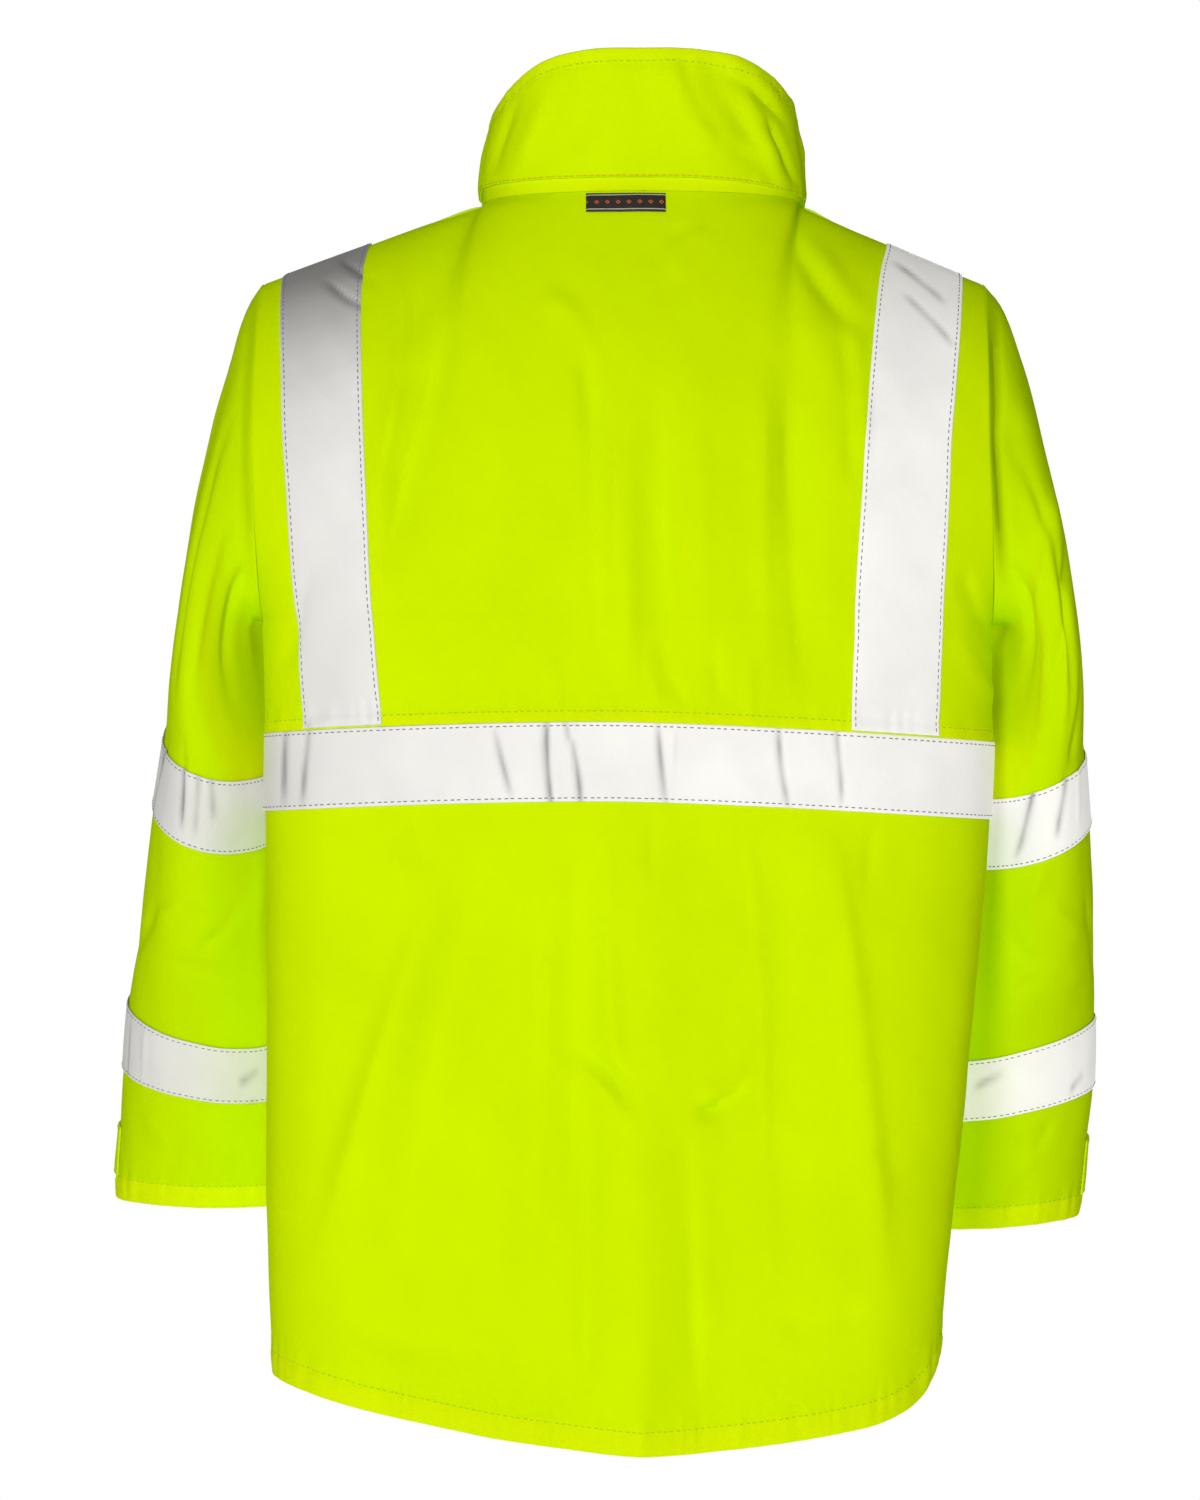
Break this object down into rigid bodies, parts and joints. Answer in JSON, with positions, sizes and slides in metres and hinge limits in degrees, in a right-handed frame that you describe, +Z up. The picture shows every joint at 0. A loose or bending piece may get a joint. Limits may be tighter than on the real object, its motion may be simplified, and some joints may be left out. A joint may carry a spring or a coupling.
{
  "type": "high-visibility rain jacket, worn shape",
  "caption": "Hollow, worn-shape high-visibility rain jacket with stand collar, dropped back hem, reflective waist, brace and sleeve tapes and a front zip whose pull tab swings.",
  "frame": {"origin": "middle of the neck opening, level with the neck points of the shoulders, where the wearer's neck and shoulders hold the jacket", "axes": "+Z up, front of the jacket faces -Y, the wearer's left is +X"},
  "size_m": [0.6821, 0.3523, 0.9085],
  "materials": {
    "coated_shell": "coated woven polyester, fluorescent yellow-green, slightly satin",
    "shell_doubled": "doubled shell cloth, fluorescent yellow-green",
    "reflective_tape": "silver glass-bead reflective tape",
    "woven_label": "black woven label with plain coloured marks",
    "zip_woven_tape": "woven zip tape",
    "zip_plastic": "moulded zip teeth and box",
    "zip_metal": "painted zip slider and pull"
  },
  "bodies": {
    "jacket": {"back_upper": "coated_shell", "back_lower": "coated_shell", "front_left": "coated_shell", "front_right": "coated_shell", "sleeve_upper_left": "coated_shell", "sleeve_middle_left": "coated_shell", "sleeve_lower_left": "coated_shell", "sleeve_upper_right": "coated_shell", "sleeve_middle_right": "coated_shell", "sleeve_lower_right": "coated_shell", "collar_outer": "coated_shell", "cuff_tab_left": "coated_shell", "cuff_tab_right": "coated_shell", "collar_inner": "shell_doubled", "waist_tape_back": "reflective_tape", "waist_tape_left": "reflective_tape", "waist_tape_right": "reflective_tape", "brace_tape_left": "reflective_tape", "brace_tape_right": "reflective_tape", "sleeve_tape_upper_left": "reflective_tape", "sleeve_tape_lower_left": "reflective_tape", "sleeve_tape_upper_right": "reflective_tape", "sleeve_tape_lower_right": "reflective_tape", "back_label": "woven_label", "zip_tape_left": "zip_woven_tape", "zip_tape_right": "zip_woven_tape", "zip_chain": "zip_plastic", "zip_box": "zip_plastic", "zip_slider": "zip_metal"},
    "pull_tab": {"zip_pull": "zip_metal"}
  },
  "joints": [
    {"name": "pull_tab_swing", "type": "hinge", "parent": "jacket", "child": "pull_tab", "pos_m": [0, -0.08963, 0.02248], "axis": [-1, 0, 0], "range_deg": [0, 165]}
  ]
}
